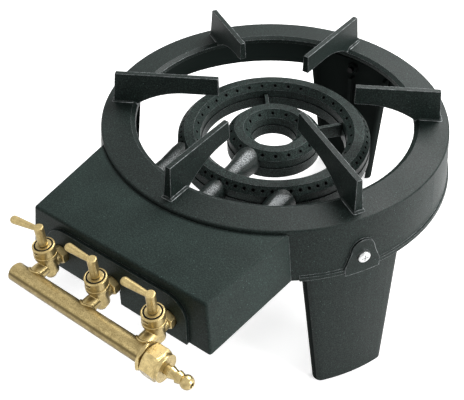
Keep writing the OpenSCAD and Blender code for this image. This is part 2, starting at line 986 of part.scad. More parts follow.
// Cap screwed on a tap's body, with the groove round the spindle
module tap_bonnet(x) {
    groove_out = bonnet_r - groove_wall;
    groove_in = groove_out - groove_w;
    edge = groove_wall / 2;
    color(gold)
        at_tap(x)
            translate([0, 0, tap_above])
                difference() {
                    rotate_extrude()
                        difference() {
                            polygon([
                                [spindle_r + run_gap, 0],
                                [bonnet_r, 0],
                                [bonnet_r, bonnet_h - edge],
                                [bonnet_r - edge, bonnet_h],
                                [spindle_r + run_gap, bonnet_h]
                            ]);
                            translate([groove_in, bonnet_h / 3])
                                square([groove_out - groove_in, bonnet_h]);
                        }
                    translate([-spindle_r, -bonnet_r - over, bonnet_h / 2])
                        cube([2 * spindle_r, bonnet_r - groove_in + over,
                              bonnet_h / 4]);
                }
}

// Conical plug with its spindle; the gas way runs across it
module tap_plug(x, turn) {
    color(gold)
        at_tap(x)
            difference() {
                union() {
                    translate([0, 0, plug_low])
                        cylinder(h = plug_top - plug_low,
                                 r1 = plug_r + plug_low * plug_taper,
                                 r2 = plug_r + plug_top * plug_taper);
                    cylinder(h = stem_low + stem_h / 2, r = spindle_r);
                }
                rotate([0, 90, turn])
                    translate([0, 0, -2 * plug_r])
                        cylinder(h = 4 * plug_r, r = plug_r * port_share);
            }
}

// Coned spring washer that keeps the plug seated
module tap_spring(x) {
    out_r = plug_r + plug_low * plug_taper;
    t = (tap_above - plug_top) / 3;
    color(steel)
        at_tap(x)
            rotate_extrude()
                polygon([
                    [spindle_r + screw_gap, tap_above - t],
                    [out_r + t, plug_top],
                    [out_r + t, plug_top + t],
                    [spindle_r + screw_gap, tap_above]
                ]);
}

// Lever and stem in one piece, sitting on the plug's spindle
module tap_lever(x, turn) {
    arm_l = lever_l - lever_end_r;
    edge = stem_r / 8;
    color(gold)
        at_tap(x)
            rotate([0, 0, turn])
                difference() {
                    union() {
                        translate([0, 0, stem_low])
                            rotate_extrude()
                                polygon([
                                    [0, 0],
                                    [stem_r, 0],
                                    [stem_r, stem_h - edge],
                                    [stem_r - edge, stem_h],
                                    [0, stem_h]
                                ]);
                        translate([0, 0, stem_low + stem_h - lever_drop])
                            rotate([0, lever_rise - 90, 0]) {
                                cylinder(h = arm_l, r1 = lever_neck_r,
                                         r2 = lever_end_r);
                                translate([0, 0, arm_l])
                                    sphere(r = lever_end_r);
                            }
                    }
                    translate([0, 0, stem_low - over])
                        cylinder(h = stem_h / 2 + over, r = spindle_r + thread_gap);
                }
}

// Hexagon nuts between the taps and the box's pad
module outlet_nuts() {
    color(gold)
        for (x = tap_xs)
            translate([x, pad_seat, gas_z])
                rotate([90, 0, 0])
                    difference() {
                        nut_blank(outlet_af, outlet_nut_t);
                        translate([0, 0, -over])
                            cylinder(h = outlet_nut_t + 2 * over,
                                     r = outlet_r + thread_gap);
                    }
}

// Injectors inside the box, blowing into the tubes' mouths
module injectors() {
    hex_l = outlet_nut_t + over;
    nose_l = mouth_gap - hex_l - wall_t;
    color(gold)
        for (x = tap_xs)
            translate([x, jet_seat, gas_z])
                rotate([-90, 0, 0])
                    difference() {
                        union() {
                            hex_bar(outlet_af - 2 * over, hex_l);
                            translate([0, 0, outlet_nut_t])
                                cylinder(h = nose_l + over, r1 = outlet_r,
                                         r2 = port_r + over);
                        }
                        translate([0, 0, -over])
                            cylinder(h = outlet_nut_t + over,
                                     r = outlet_r + thread_gap);
                        cylinder(h = hex_l + nose_l + over, r = port_r / 2,
                                 $fn = 24);
                    }
}

// Turn of the locknut against the union nut, degrees
locknut_turn = 15;
// How far the rail reaches into the union nut's hexagon
rail_share = 0.6;
// Stations of the gas rail's right end, from the middle of the object
union_x = locknut_x + locknut_t + rail_t;
rail_end = union_x + union_l * rail_share;
// Step from barb to barb as a share of the hose tail's length
barb_share = 0.27;
// Where a barb starts and ends, as shares of that step
barb_from_share = -0.34;
barb_to_share = 0.3;
flange_end = rail_end + rail_t;
union_end = union_x + union_l + union_round_l;
tail_end = union_end + tail_l;

// Puts a piece of the gas line at a station, its own +Z along +X
module at_rail(x) {
    translate([x, -tap_reach - rail_gap, gas_z])
        rotate([0, 90, 0])
            children();
}

module gas_rail() {
    color(gold)
        difference() {
            at_rail(-rail_left)
                difference() {
                    rotate_extrude()
                        polygon([
                            [0, 0],
                            [rail_r - rail_t, 0],
                            [rail_r, rail_t],
                            [rail_r, rail_end + rail_left],
                            [0, rail_end + rail_left]
                        ]);
                    translate([0, 0, 2 * rail_t])
                        cylinder(h = 2 * rail_end + rail_left, r = rail_r - rail_t);
                }
            for (x = tap_xs)
                rod_y(x, -tap_reach - rail_gap, -tap_reach, gas_z,
                      plug_r * port_share);
        }
}

module rail_locknut() {
    color(gold)
        at_rail(locknut_x)
            difference() {
                rotate([0, 0, locknut_turn])
                    nut_blank(locknut_af, locknut_t);
                translate([0, 0, -over])
                    cylinder(h = locknut_t + 2 * over, r = rail_r + thread_gap);
            }
}

module union_nut() {
    cap_l = union_end - union_x;
    color(gold)
        at_rail(union_x)
            difference() {
                union() {
                    rotate([0, 0, union_turn])
                        nut_blank(union_af, union_l);
                    cylinder(h = cap_l, r = union_round_r);
                }
                translate([0, 0, -over])
                    cylinder(h = flange_end - union_x + over,
                             r = rail_r + thread_gap);
                cylinder(h = cap_l + over, r = tail_r + screw_gap);
            }
}

module hose_tail() {
    barb = tail_l * barb_share;
    flange_r = rail_r - rail_t / 2;
    ball_at = tail_end - tail_ball_r;
    color(gold)
        at_rail(0)
            difference() {
                rotate_extrude() {
                    polygon([
                        [0, rail_end],
                        [flange_r, rail_end],
                        [flange_r, flange_end],
                        [tail_r, flange_end],
                        for (i = [1, 2]) each [
                            [tail_r, union_end + barb * (i + barb_from_share)],
                            [barb_r, union_end + barb * (i + barb_from_share)],
                            [tail_r, union_end + barb * (i + barb_to_share)]
                        ],
                        [tail_r, ball_at],
                        [0, ball_at]
                    ]);
                    intersection() {
                        translate([0, ball_at])
                            circle(r = tail_ball_r);
                        square([tail_ball_r, tail_end - over]);
                    }
                }
                translate([0, 0, rail_end - over])
                    cylinder(h = tail_end, r = tail_bore_r);
            }
}

// Which piece to draw, or all

// Sets a piece into the object's frame, centred over its own floor area
module placed() {
    translate([0, axis_y, 0])
        children();
}

placed() ring();
placed() gas_box();
placed() pan_rib(90 + ring_turn, long_rib_r);  // rib_rear
placed() pan_rib(150 + ring_turn, short_rib_r);  // rib_left_rear
placed() pan_rib(210 + ring_turn, long_rib_r);  // rib_left_front
placed() pan_rib(270 + ring_turn, short_rib_r);  // rib_front
placed() pan_rib(330 + ring_turn, long_rib_r);  // rib_right_front
placed() pan_rib(30 + ring_turn, short_rib_r);  // rib_right_rear
placed() outer_burner_base();
placed() outer_burner_cap();
placed() inner_burner_base();
placed() inner_burner_cap();
placed() burner_bridges();
placed() side_tube(-tap_pitch);  // left_tube
placed() middle_tube();
placed() side_tube(tap_pitch);  // right_tube
placed() leg(leg_angles[1]);  // rear_leg
placed() leg(leg_angles[2]);  // left_leg
placed() leg(leg_angles[0]);  // right_leg
placed() leg_screws();
placed() leg_nuts();
placed() gas_rail();
placed() rail_locknut();
placed() union_nut();
placed() hose_tail();
placed() outlet_nuts();
placed() injectors();
placed() tap_body(-tap_pitch);  // left_tap_body
placed() tap_bonnet(-tap_pitch);  // left_tap_bonnet
placed() tap_plug(-tap_pitch, lever_turns[0]);  // left_tap_plug
placed() tap_spring(-tap_pitch);  // left_tap_spring
placed() tap_lever(-tap_pitch, lever_turns[0]);  // left_tap_lever
placed() tap_body(0);  // middle_tap_body
placed() tap_bonnet(0);  // middle_tap_bonnet
placed() tap_plug(0, lever_turns[1]);  // middle_tap_plug
placed() tap_spring(0);  // middle_tap_spring
placed() tap_lever(0, lever_turns[1]);  // middle_tap_lever
placed() tap_body(tap_pitch);  // right_tap_body
placed() tap_bonnet(tap_pitch);  // right_tap_bonnet
placed() tap_plug(tap_pitch, lever_turns[2]);  // right_tap_plug
placed() tap_spring(tap_pitch);  // right_tap_spring
placed() tap_lever(tap_pitch, lever_turns[2]);  // right_tap_lever
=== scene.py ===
"""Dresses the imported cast-iron boiling ring: coatings, brass, small forms and the stage.

The frame holds the parts where they belong; this file gives them their finish
and adds the fillets, sealing rings and solder that the solids leave out.
"""

import math
from collections import namedtuple

import bmesh
import bpy
import numpy as np
from bpy.props import FloatProperty, FloatVectorProperty, IntProperty, PointerProperty
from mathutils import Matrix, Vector


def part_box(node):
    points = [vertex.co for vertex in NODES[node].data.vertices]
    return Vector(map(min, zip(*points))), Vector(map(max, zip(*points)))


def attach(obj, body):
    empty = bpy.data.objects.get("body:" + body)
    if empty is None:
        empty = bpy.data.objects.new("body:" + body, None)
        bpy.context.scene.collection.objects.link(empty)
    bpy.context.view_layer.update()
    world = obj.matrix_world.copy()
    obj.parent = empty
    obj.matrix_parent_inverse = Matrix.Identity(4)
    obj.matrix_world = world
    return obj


bl_info = {
    "name": "Cast Boiling Ring",
    "version": (1, 0, 0),
    "blender": (4, 5, 0),
    "location": "3D View > Sidebar > Boiling Ring",
    "description": "Finishes and small forms for a cast-iron gas boiling ring",
    "category": "Object",
}

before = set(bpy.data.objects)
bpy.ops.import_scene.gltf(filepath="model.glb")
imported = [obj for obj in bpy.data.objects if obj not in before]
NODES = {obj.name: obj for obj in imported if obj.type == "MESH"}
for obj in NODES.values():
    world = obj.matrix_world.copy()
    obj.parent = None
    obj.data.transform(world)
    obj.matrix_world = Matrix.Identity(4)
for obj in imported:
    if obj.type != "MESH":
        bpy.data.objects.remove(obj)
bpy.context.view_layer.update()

MM = 0.001
PHOTO_W, PHOTO_H = 464, 400
STAND = "stand"
SIDES = ("left", "middle", "right")
# Angles of the pan ribs about the ring's axis, degrees
RIB_ANGLES = {
    "rib_right_rear": 29,
    "rib_rear": 89,
    "rib_left_rear": 149,
    "rib_left_front": 209,
    "rib_front": 269,
    "rib_right_front": 329,
}

# The ring's axis, read from the round burner on it, and the flange's top
burner_low, burner_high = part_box("outer_burner_cap")
RING_CENTRE = Vector((burner_low.x + burner_high.x, burner_low.y + burner_high.y, 0)) / 2
FLANGE_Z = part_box("ring")[1].z
# Depth of the flange's edge, which stays free of the sooting and painted shade
FLANGE_EDGE = 7.5 * MM

# Where a casting is darkened inside the ring, by sooting and painted shade: nearer to the
# axis than radius, which holds at the flange's top and grows by slope for each length below
# it. tone is the share of the coating's brightness that is left there
SootAndShade = namedtuple("SootAndShade", "radius slope tone")
WALL_SOOT_AND_SHADE = SootAndShade(197.7 * MM, 0.1317, 0.85)
LEG_SOOT_AND_SHADE = SootAndShade(193.7 * MM, 0.1016, 0.4)
NO_SOOT_OR_SHADE = SootAndShade(0.0, 0.0, 1.0)

# Rows of flame ports: places round the row, the row's radius, the angle of place 0 in
# degrees, and whether place 0 is left undrilled
PortRow = namedtuple("PortRow", "places radius start undrilled")
PORT_ROWS = [
    PortRow(68, 111.0 * MM, 90.6, False),
    PortRow(34, 92.0 * MM, 90.6, True),
    PortRow(21, 51.25 * MM, -3.0, False),
    PortRow(12, 32.25 * MM, 6.0, False),
]
# Depth below the flange of the lower edge of the bevels with the ports
PORT_FLOOR = 35.5 * MM
# Width over which the painted shade round a port fades
PORT_FADE = 0.4 * MM

# Painted sheen on the tubes' tops beside the burners: distance from the axis that its stops
# are shares of, the stops with the strength there, and the direction, halfway between the
# overhead lamp and the camera, that the painted sheen faces
PAINTED_SHEEN_REACH = 200 * MM
PAINTED_SHEEN_STOPS = [
    (0.26, 0.0), (0.30, 1.0), (0.38, 0.8), (0.50, 0.0),
    (0.58, 0.0), (0.61, 0.5), (0.72, 0.4), (0.84, 0.0),
]
PAINTED_SHEEN_SIDE = (0.30, -0.03, 0.95)

# Painted reflection: a darker line low on the side of a level tube, by the normal's upward
# share; stops of that share with the line's strength there
REFLECTION_BAND_STOPS = [
    (0.05, 0.5), (0.36, 0.35), (0.50, 0.85), (0.57, 1.0),
    (0.63, 0.85), (0.71, 0.3), (0.80, 0.0),
]
# Tone of a coating by the height of its grain, at FULL_RELIEF; a deeper relief raises
# the contrast up to the most that is given
GRIT_STOPS = [(0.36, 0.30), (0.50, 0.85), (0.66, 2.0)]
FULL_RELIEF, MOST_CONTRAST = 0.6, 1.3
# How far the roughness of a casting and of brass runs below and above the setting
CAST_UNEVEN, BRASS_UNEVEN = (-0.08, 0.10), (-0.05, 0.16)
# Depth of the grain on a casting, on brass and on zinc
CAST_GRAIN, BRASS_GRAIN, ZINC_GRAIN = 0.3 * MM, 0.16 * MM, 0.05 * MM
# Noise cells to the metre: broad patches of a casting, stretches of an edge's rubbing and
# painted highlight, patches of tarnishing, and the marks drawn out along X
MOTTLE_CELLS, RUBBED_AND_LIT_CELLS, TARNISH_CELLS = 22, 160, 170
DRAWN_CELLS = (45, 700, 700)

# Shares of the coating's own tone: dull patches, flecks, and the painted shade inside holes
DULL_TONE, FLECK_TONE, HOLE_SHADE_TONE = 0.8, 9, 0.1
# Shares of the stain's tone in the painted reflection line and in the painted shade and
# tarnishing on undersides, and of the brass on edges, rubbed and painted with highlight
REFLECTION_BAND_TONE, UNDERSIDE_SHADE_TONE, EDGE_WEAR_AND_HIGHLIGHT_TONE = 0.5, 0.6, 1.55
ZINC_DULL, ZINC_BRIGHT = (0.52, 0.53, 0.54), (0.80, 0.80, 0.78)
RUBBER_DARK, RUBBER_PALE = (0.004, 0.004, 0.004), (0.01, 0.01, 0.01)
# Colour of the zinc inside the ring: sooting and painted shade
SOOT_AND_SHADE_COLOUR = (0.012, 0.012, 0.012)
FLOOR_COLOUR, WHITE = (0.86, 0.86, 0.86, 1), (1, 1, 1, 1)

# A rib's foot: half its thickness, the radii of its ends, how far a fillet is sunk into
# it, and the length and depth of the flange's bevel under its inner end
RIB_HALF, RIB_START, RIB_END, RIB_SINK = 4.8 * MM, 161.6 * MM, 190 * MM, 0.1 * MM
BEVEL_LENGTH, BEVEL_DEPTH = 5 * MM, 3 * MM
FILLET_SINK = 0.5 * MM
# A bonnet's sealing ring: radii, how far its top stands over the bonnet, how much of
# that top is domed, and the height below the dome
SEAL_INNER, SEAL_OUTER = 7.4 * MM, 9.4 * MM
SEAL_STAND, SEAL_RISE, SEAL_HEIGHT = 0.2 * MM, 0.4 * MM, 1.5 * MM
# Radius of a branch where it meets the rail, and of the solder's bead
BRANCH_RADIUS, BEAD_RADIUS = 8.4 * MM, 1.3 * MM

# Half the floor's side, the glow that lifts it to white, and the world's even light
FLOOR_HALF, FLOOR_GLOW, WORLD_LIGHT = 4.0, 0.66, 0.18
# Lamps: name, place from the foot of the ring's axis, side of the square and power; all
# aim at the axis, at this share of the flange's height
LAMPS = [
    ("Overhead lamp", (0.05, 0.9, 1.3), 0.8, 26.0),
    ("Right lamp", (1.5, 0.15, 0.7), 0.6, 18.0),
    ("Front lamp", (-0.5, -1.5, 1.0), 0.9, 1.5),
]
LAMP_AIM = 0.8
# The camera's sensor in millimetres and its nearest and farthest depth in metres
SENSOR_WIDTH, CLIP_START, CLIP_END = 36, 0.01, 100


# Settings


class CastingSettings(bpy.types.PropertyGroup):
    """Finish of the coated castings"""

    coat_colour: FloatVectorProperty(
        name="Coating", description="Colour of the heat-resistant coating",
        subtype="COLOR", size=3, min=0, max=1, default=(0.0115, 0.0185, 0.0165),
    )
    # Colour of the rubbed edges with their painted highlight, and of the painted sheen on
    # the tubes
    worn_and_highlight_colour: FloatVectorProperty(
        name="Worn and highlighted edges", description="Colour where the edges are rubbed",
        subtype="COLOR", size=3, min=0, max=1, default=(0.48, 0.51, 0.52),
    )
    roughness: FloatProperty(
        name="Roughness", description="Roughness of the coating",
        subtype="FACTOR", min=0, max=1, default=0.46,
    )
    grain: FloatProperty(
        name="Grain", description="Size of the cast grain",
        subtype="DISTANCE", unit="LENGTH", min=0.0001, max=0.01, default=0.0013,
    )
    fillet: FloatProperty(
        name="Rib fillets", description="Radius of the fillets at the ribs' feet",
        subtype="DISTANCE", unit="LENGTH", min=0.0005, max=0.005, default=0.0024,
    )


class BrassSettings(bpy.types.PropertyGroup):
    """Finish of the brass fittings"""

    colour: FloatVectorProperty(
        name="Brass", description="Colour of the brass",
        subtype="COLOR", size=3, min=0, max=1, default=(0.55, 0.43, 0.20),
    )
    stain_colour: FloatVectorProperty(
        name="Stain", description="Colour of the darker stains",
        subtype="COLOR", size=3, min=0, max=1, default=(0.25, 0.185, 0.075),
    )
    roughness: FloatProperty(
        name="Roughness", description="Roughness of the brass",
        subtype="FACTOR", min=0, max=1, default=0.34,
    )


class StageSettings(bpy.types.PropertyGroup):
    """Camera, lamps and floor"""

    azimuth: FloatProperty(
        name="Azimuth", description="Camera's turn round the object from its front",
        subtype="ANGLE", unit="ROTATION", default=math.radians(34.87),
    )
    elevation: FloatProperty(
        name="Elevation", description="Camera's angle above the horizon",
        subtype="ANGLE", unit="ROTATION", default=math.radians(40.89),
    )
    focal_px: FloatProperty(
        name="Focal length", description="Focal length in pixels of the picture",
        min=100, max=5000, default=690,
    )
    distance: FloatProperty(
        name="Distance", description="Camera to the middle of the flange",
        subtype="DISTANCE", unit="LENGTH", default=0.80607,
    )
    aside: FloatProperty(
        name="Aside", description="Camera's offset to its right",
        subtype="DISTANCE", unit="LENGTH", default=-0.02866,
    )
    above: FloatProperty(
        name="Above", description="Camera's offset upwards",
        subtype="DISTANCE", unit="LENGTH", default=-0.07246,
    )
    centre_x: IntProperty(
        name="Centre X", description="Column of the camera's axis in the picture",
        default=250,
    )
    centre_y: IntProperty(
        name="Centre Y", description="Row of the camera's axis in the picture",
        default=170,
    )


# Shader building


def feed(tree, socket, value):
    """Gives an input a number, tuple or colour, or links another node's output to it."""
    if isinstance(value, bpy.types.NodeSocket):
        tree.links.new(value, socket)
    else:
        socket.default_value = value


def add(tree, kind, place, *fed, **values):
    """A node of a kind at a place.

    fed goes to its inputs in order, and values to its attributes or to its inputs
    by name, with _ for each space.
    """
    node = tree.nodes.new(kind)
    node.location = place
    for socket, value in zip(node.inputs, fed):
        feed(tree, socket, value)
    for key, value in values.items():
        if hasattr(node, key):
            setattr(node, key, value)
        else:
            feed(tree, node.inputs[key.replace("_", " ")], value)
    return node


def math_node(tree, operation, *fed, place=None, **values):
    """Output of a math node, which stands right of the last node if no place is given."""
    last = tree.nodes[-1].location
    place = place or (last.x + 180, last.y)
    node = add(tree, "ShaderNodeMath", place, *fed, operation=operation, **values)
    return node.outputs[0]


def vector_node(tree, operation, place, *fed):
    """Output of a vector math node that gives a number."""
    node = add(tree, "ShaderNodeVectorMath", place, *fed, operation=operation)
    return node.outputs["Value"]


def ramp(tree, place, factor, stops):
    """Output of a ramp through (position, grey) stops."""
    node = add(tree, "ShaderNodeValToRGB", place, factor)
    elements = node.color_ramp.elements
    while len(elements) < len(stops):
        elements.new(0.5)
    for element, (position, grey) in zip(elements, stops):
        element.position = position
        element.color = (grey, grey, grey, 1)
    return node.outputs["Color"]


def between(tree, place, mask, low, high, **values):
    """Output that runs from low to high with a mask, from 0 to 1 if values don't say."""
    node = add(
        tree, "ShaderNodeMapRange", place, Value=mask, To_Min=low, To_Max=high, **values
    )
    return node.outputs["Result"]


def toned(colour, share=1.0):
    """A colour at a share of its brightness, no more than white, with full alpha."""
    return (*(min(1.0, share * c) for c in colour[:3]), 1.0)


def mix_colour(tree, place, factor, first, second, blend="MIX"):
    """Output of a colour mix from first to second by factor."""
    node = add(tree, "ShaderNodeMix", place, factor, data_type="RGBA", blend_type=blend)
    first_input, second_input, result = 6, 7, 2
    feed(tree, node.inputs[first_input], first)
    feed(tree, node.inputs[second_input], second)
    return node.outputs[result]


def layered(tree, colour, layers):
    """Output of a colour with others over it, each a (mask, colour) laid on the last."""
    for step, (mask, over) in enumerate(layers):
        colour = mix_colour(tree, (200 * step - 400, 300), mask, colour, over)
    return colour


def new_group(name, inputs, outputs):
    """An empty shader node group with float inputs and their values, and named outputs.

    The output called Normal is a vector, and the others are floats.
    """
    group = bpy.data.node_groups.new(name, "ShaderNodeTree")
    sockets = group.interface
    for label, value in inputs.items():
        socket = sockets.new_socket(
            name=label, in_out="INPUT", socket_type="NodeSocketFloat"
        )
        socket.default_value = value
    for label in outputs:
        kind = "NodeSocketVector" if label == "Normal" else "NodeSocketFloat"
        sockets.new_socket(name=label, in_out="OUTPUT", socket_type=kind)
    return group


def place_group(tree, name, place, **values):
    """Outputs of a node group placed in a material."""
    node = tree.nodes.new("ShaderNodeGroup")
    node.node_tree = bpy.data.node_groups[name]
    node.location = place
    for key, value in values.items():
        feed(tree, node.inputs[key], value)
    return node.outputs


def object_place(group, place):
    """Output with the place of a point in the object's frame."""
    return add(group, "ShaderNodeTexCoord", place).outputs["Object"]


def round_axis(group):
    """Outputs with X, Y and Z from the flange's top on the ring's axis, and the radius.

    The radius is the length of (X, Y, 0).
    """
    centred = add(
        group, "ShaderNodeMapping", (-900, 0), Vector=object_place(group, (-1100, 0)),
        Location=(-RING_CENTRE.x, -RING_CENTRE.y, -FLANGE_Z),
    )
    split = add(group, "ShaderNodeSeparateXYZ", (-700, 0), centred.outputs["Vector"])
    x, y, z = split.outputs
    flat = add(group, "ShaderNodeCombineXYZ", (-500, 100), x, y)
    return x, y, z, vector_node(group, "LENGTH", (-300, 100), flat.outputs["Vector"])


def cast_grain_group():
    """Height, mottle and specks of a coated sand casting.

    Height is fine noise of the given Size and Mottle is broad noise. Specks are the
    middles of those cells of Size whose random grey is high.
    """
    group = new_group("Cast grain", {"Size": 1.1 * MM}, ["Height", "Mottle", "Specks"])
    given = add(group, "NodeGroupInput", (-900, 0)).outputs
    place = object_place(group, (-900, 300))
    scale = math_node(group, "DIVIDE", 1.0, given["Size"], place=(-700, 0))
    fine = add(
        group, "ShaderNodeTexNoise", (-450, 200),
        Vector=place, Scale=scale, Detail=3, Roughness=0.6,
    )
    broad = add(
        group, "ShaderNodeTexNoise", (-450, -50), Vector=place, Scale=MOTTLE_CELLS, Detail=4
    )
    cells = add(group, "ShaderNodeTexVoronoi", (-450, -300), Vector=place, Scale=scale)
    middles = ramp(
        group, (-200, -300), cells.outputs["Distance"], [(0.22, 1.0), (0.40, 0.0)]
    )
    few = ramp(group, (-200, -550), cells.outputs["Color"], [(0.88, 0.0), (0.92, 1.0)])
    add(
        group, "NodeGroupOutput", (600, 0),
        Height=fine.outputs["Fac"],
        Mottle=broad.outputs["Fac"],
        Specks=math_node(group, "MULTIPLY", middles, few, place=(150, -350)),
    )


def worn_and_lit_edges_group():
    """Mask of outer edges, rubbed and painted with highlight, and the normal rounded off
    over Radius.

    The mask grows as the cosine between the surface's normal and the rounded one
    falls from 0.985 to 0.86. Noise breaks it up, and Amount scales it.
    """
    group = new_group("Worn and lit edges", {"Amount": 1.0, "Radius": 1.3 * MM}, ["Mask", "Normal"])
    given = add(group, "NodeGroupInput", (-1100, -200)).outputs
    rounded = add(
        group, "ShaderNodeBevel", (-900, 200), samples=6, Radius=given["Radius"]
    ).outputs["Normal"]
    surface = add(group, "ShaderNodeNewGeometry", (-900, 0)).outputs["True Normal"]
    cosine = vector_node(group, "DOT_PRODUCT", (-650, 100), rounded, surface)
    sharp = ramp(group, (-420, 100), cosine, [(0.86, 1.0), (0.985, 0.0)])
    patches = add(
        group, "ShaderNodeTexNoise", (-650, -400),
        Vector=object_place(group, (-900, -400)), Scale=RUBBED_AND_LIT_CELLS,
    )
    broken = ramp(group, (-420, -400), patches.outputs["Fac"], [(0.35, 0.2), (0.60, 1.0)])
    both = math_node(group, "MULTIPLY", sharp, broken, place=(-100, 0))
    mask = math_node(
        group, "MULTIPLY", both, given["Amount"], place=(100, 0), use_clamp=True
    )
    add(group, "NodeGroupOutput", (700, 0), Mask=mask, Normal=rounded)


def soot_and_shade_group():
    """Mask of sooting and painted shade on what faces the flames: 1 below the flange's edge
    and inside the radius.

    A point at radius r and height z over the flange's top lies inside where
    r + Slope z is less than Radius.
    """
    group = new_group("Soot and shade", {"Radius": 200 * MM, "Slope": 0.1}, ["Mask"])
    given = add(group, "NodeGroupInput", (-500, -300)).outputs
    _, _, z, radius = round_axis(group)
    level = math_node(
        group, "MULTIPLY_ADD", z, given["Slope"], radius, place=(-300, -150)
    )
    inside = math_node(group, "LESS_THAN", level, given["Radius"], place=(-100, 0))
    below = math_node(group, "LESS_THAN", z, -FLANGE_EDGE, place=(-100, -200))
    mask = math_node(group, "MULTIPLY", inside, below, place=(150, 0))
    add(group, "NodeGroupOutput", (400, 0), Mask=mask)


def hole_shade_group():
    """Mask of painted shade inside small holes: 1 where most ways within Reach are blocked.

    Rim takes in more of what lies close to a hole's edge.
    """
    group = new_group("Hole shade", {"Reach": 6 * MM, "Rim": 0.0}, ["Mask"])
    given = add(group, "NodeGroupInput", (-500, 0)).outputs
    open_share = add(
        group, "ShaderNodeAmbientOcclusion", (-250, 0), samples=6, Distance=given["Reach"]
    ).outputs["AO"]
    shifted = math_node(group, "SUBTRACT", open_share, given["Rim"], place=(-50, 0))
    deep = ramp(group, (150, 0), shifted, [(0.42, 1.0), (0.66, 0.0)])
    add(group, "NodeGroupOutput", (450, 0), Mask=deep)


def painted_sheen_group():
    """Mask of the painted sheen on the tubes' tops beside the burners.

    It is the strength at the point's radius, times how near the surface's normal is
    to the direction of the painted sheen.
    """
    group = new_group("Painted sheen", {}, ["Mask"])
    radius = round_axis(group)[-1]
    share = math_node(group, "DIVIDE", radius, PAINTED_SHEEN_REACH, place=(-100, 100))
    beside = ramp(group, (100, 100), share, PAINTED_SHEEN_STOPS)
    surface = add(group, "ShaderNodeNewGeometry", (-300, -200)).outputs["Normal"]
    facing = vector_node(group, "DOT_PRODUCT", (-100, -200), surface, PAINTED_SHEEN_SIDE)
    top = ramp(group, (100, -200), facing, [(0.88, 0.0), (0.985, 1.0)])
    mask = math_node(group, "MULTIPLY", beside, top, place=(400, 0))
    add(group, "NodeGroupOutput", (600, 0), Mask=mask)


def port_shade_group():
    """Mask of painted shade in and round the flame ports: over 0 within Radius of a port of
    any row.

    For a point at radius r and angle a, the row's nearest place is n = round(s) with
    s = places (a - start) / 2 pi. The port is the length of (arc, slant) away, with
    arc = 2 pi row_radius (s - n) / places and slant = sqrt(2) (r - row_radius), as
    the bevel with the ports slopes at 45 degrees. Inside Radius the mask rises to 1
    over the width of the fade.
    """
    group = new_group("Port shade", {"Radius": 2.35 * MM}, ["Mask"])
    given = add(group, "NodeGroupInput", (-300, -100)).outputs
    x, y, z, radius = round_axis(group)
    angle = math_node(group, "ARCTAN2", y, x, place=(-300, 300))
    mask = 0.0
    for number, row in enumerate(PORT_ROWS):
        line = 300 - 200 * number
        pitch = 2 * math.pi / row.places
        turned_by = math_node(
            group, "SUBTRACT", angle, math.radians(row.start), place=(0, line)
        )
        step = math_node(group, "DIVIDE", turned_by, pitch)
        nearest = math_node(group, "ROUND", step)
        off = math_node(group, "SUBTRACT", step, nearest)
        arc = math_node(group, "MULTIPLY", off, pitch * row.radius)
        across = math_node(group, "SUBTRACT", radius, row.radius)
        slant = math_node(group, "MULTIPLY", across, math.sqrt(2))
        arc_square = math_node(group, "MULTIPLY", arc, arc)
        square = math_node(group, "MULTIPLY_ADD", slant, slant, arc_square)
        distance = math_node(group, "SQRT", square)
        gap = math_node(group, "SUBTRACT", given["Radius"], distance)
        soft = math_node(group, "DIVIDE", gap, PORT_FADE)
        if row.undrilled:
            from_first = math_node(group, "ABSOLUTE", nearest)
            drilled = math_node(group, "GREATER_THAN", from_first, 0.5)
            soft = math_node(group, "MULTIPLY", soft, drilled)
        mask = math_node(group, "MAXIMUM", mask, soft)
    above = math_node(group, "GREATER_THAN", z, -PORT_FLOOR, place=(2700, -600))
    full = math_node(group, "MINIMUM", mask, 1.0)
    shown = math_node(group, "MULTIPLY", full, above)
    add(group, "NodeGroupOutput", (3300, -600), Mask=shown)


def tarnish_and_painted_light_group():
    """Masks of tarnishing and painted light on brass.

    Patches is broad noise, Underside, painted shade with tarnishing, grows as the
    normal turns down, Marks is noise drawn out along X, and Band is the painted
    reflection, a darker line low on the side of a level tube.
    """
    group = new_group(
        "Tarnish and painted light", {"Marks": 0.5, "Band": 0.5}, ["Patches", "Underside", "Marks", "Band"]
    )
    given = add(group, "NodeGroupInput", (-900, -300)).outputs
    place = object_place(group, (-900, 100))
    broad = add(
        group, "ShaderNodeTexNoise", (-450, 300),
        Vector=place, Scale=TARNISH_CELLS, Detail=6, Roughness=0.65,
    )
    patches = ramp(group, (-200, 300), broad.outputs["Fac"], [(0.36, 1.0), (0.60, 0.0)])
    surface = add(group, "ShaderNodeNewGeometry", (-900, -100)).outputs["Normal"]
    upward = add(group, "ShaderNodeSeparateXYZ", (-650, -100), surface).outputs["Z"]
    # Painted shade and tarnishing where the normal turns down
    low = between(
        group, (-450, -50), upward, 0.0, 1.0,
        From_Min=0.15, From_Max=-0.65, interpolation_type="SMOOTHSTEP",
    )
    line = ramp(group, (-450, -700), upward, REFLECTION_BAND_STOPS)
    drawn = add(group, "ShaderNodeMapping", (-650, -350), Vector=place, Scale=DRAWN_CELLS)
    streaks = add(
        group, "ShaderNodeTexNoise", (-450, -350),
        Vector=drawn.outputs["Vector"], Scale=1.0, Detail=4,
    )
    dark = ramp(group, (-200, -350), streaks.outputs["Fac"], [(0.36, 1.0), (0.50, 0.0)])
    add(
        group, "NodeGroupOutput", (600, 0),
        Patches=patches,
        Underside=low,
        Marks=math_node(group, "MULTIPLY", dark, given["Marks"], place=(100, -300)),
        Band=math_node(group, "MULTIPLY", line, given["Band"], place=(-100, -700)),
    )


def clean_material(name):
    """A new material and its empty node tree."""
    material = bpy.data.materials.new(name)
    material.use_nodes = True
    material.node_tree.nodes.clear()
    return material, material.node_tree


def dress(tree, **values):
    """The material's Principled shader with its inputs, joined to the output."""
    shader = add(tree, "ShaderNodeBsdfPrincipled", (900, 0), **values)
    add(tree, "ShaderNodeOutputMaterial", (1250, 0), Surface=shader.outputs["BSDF"])


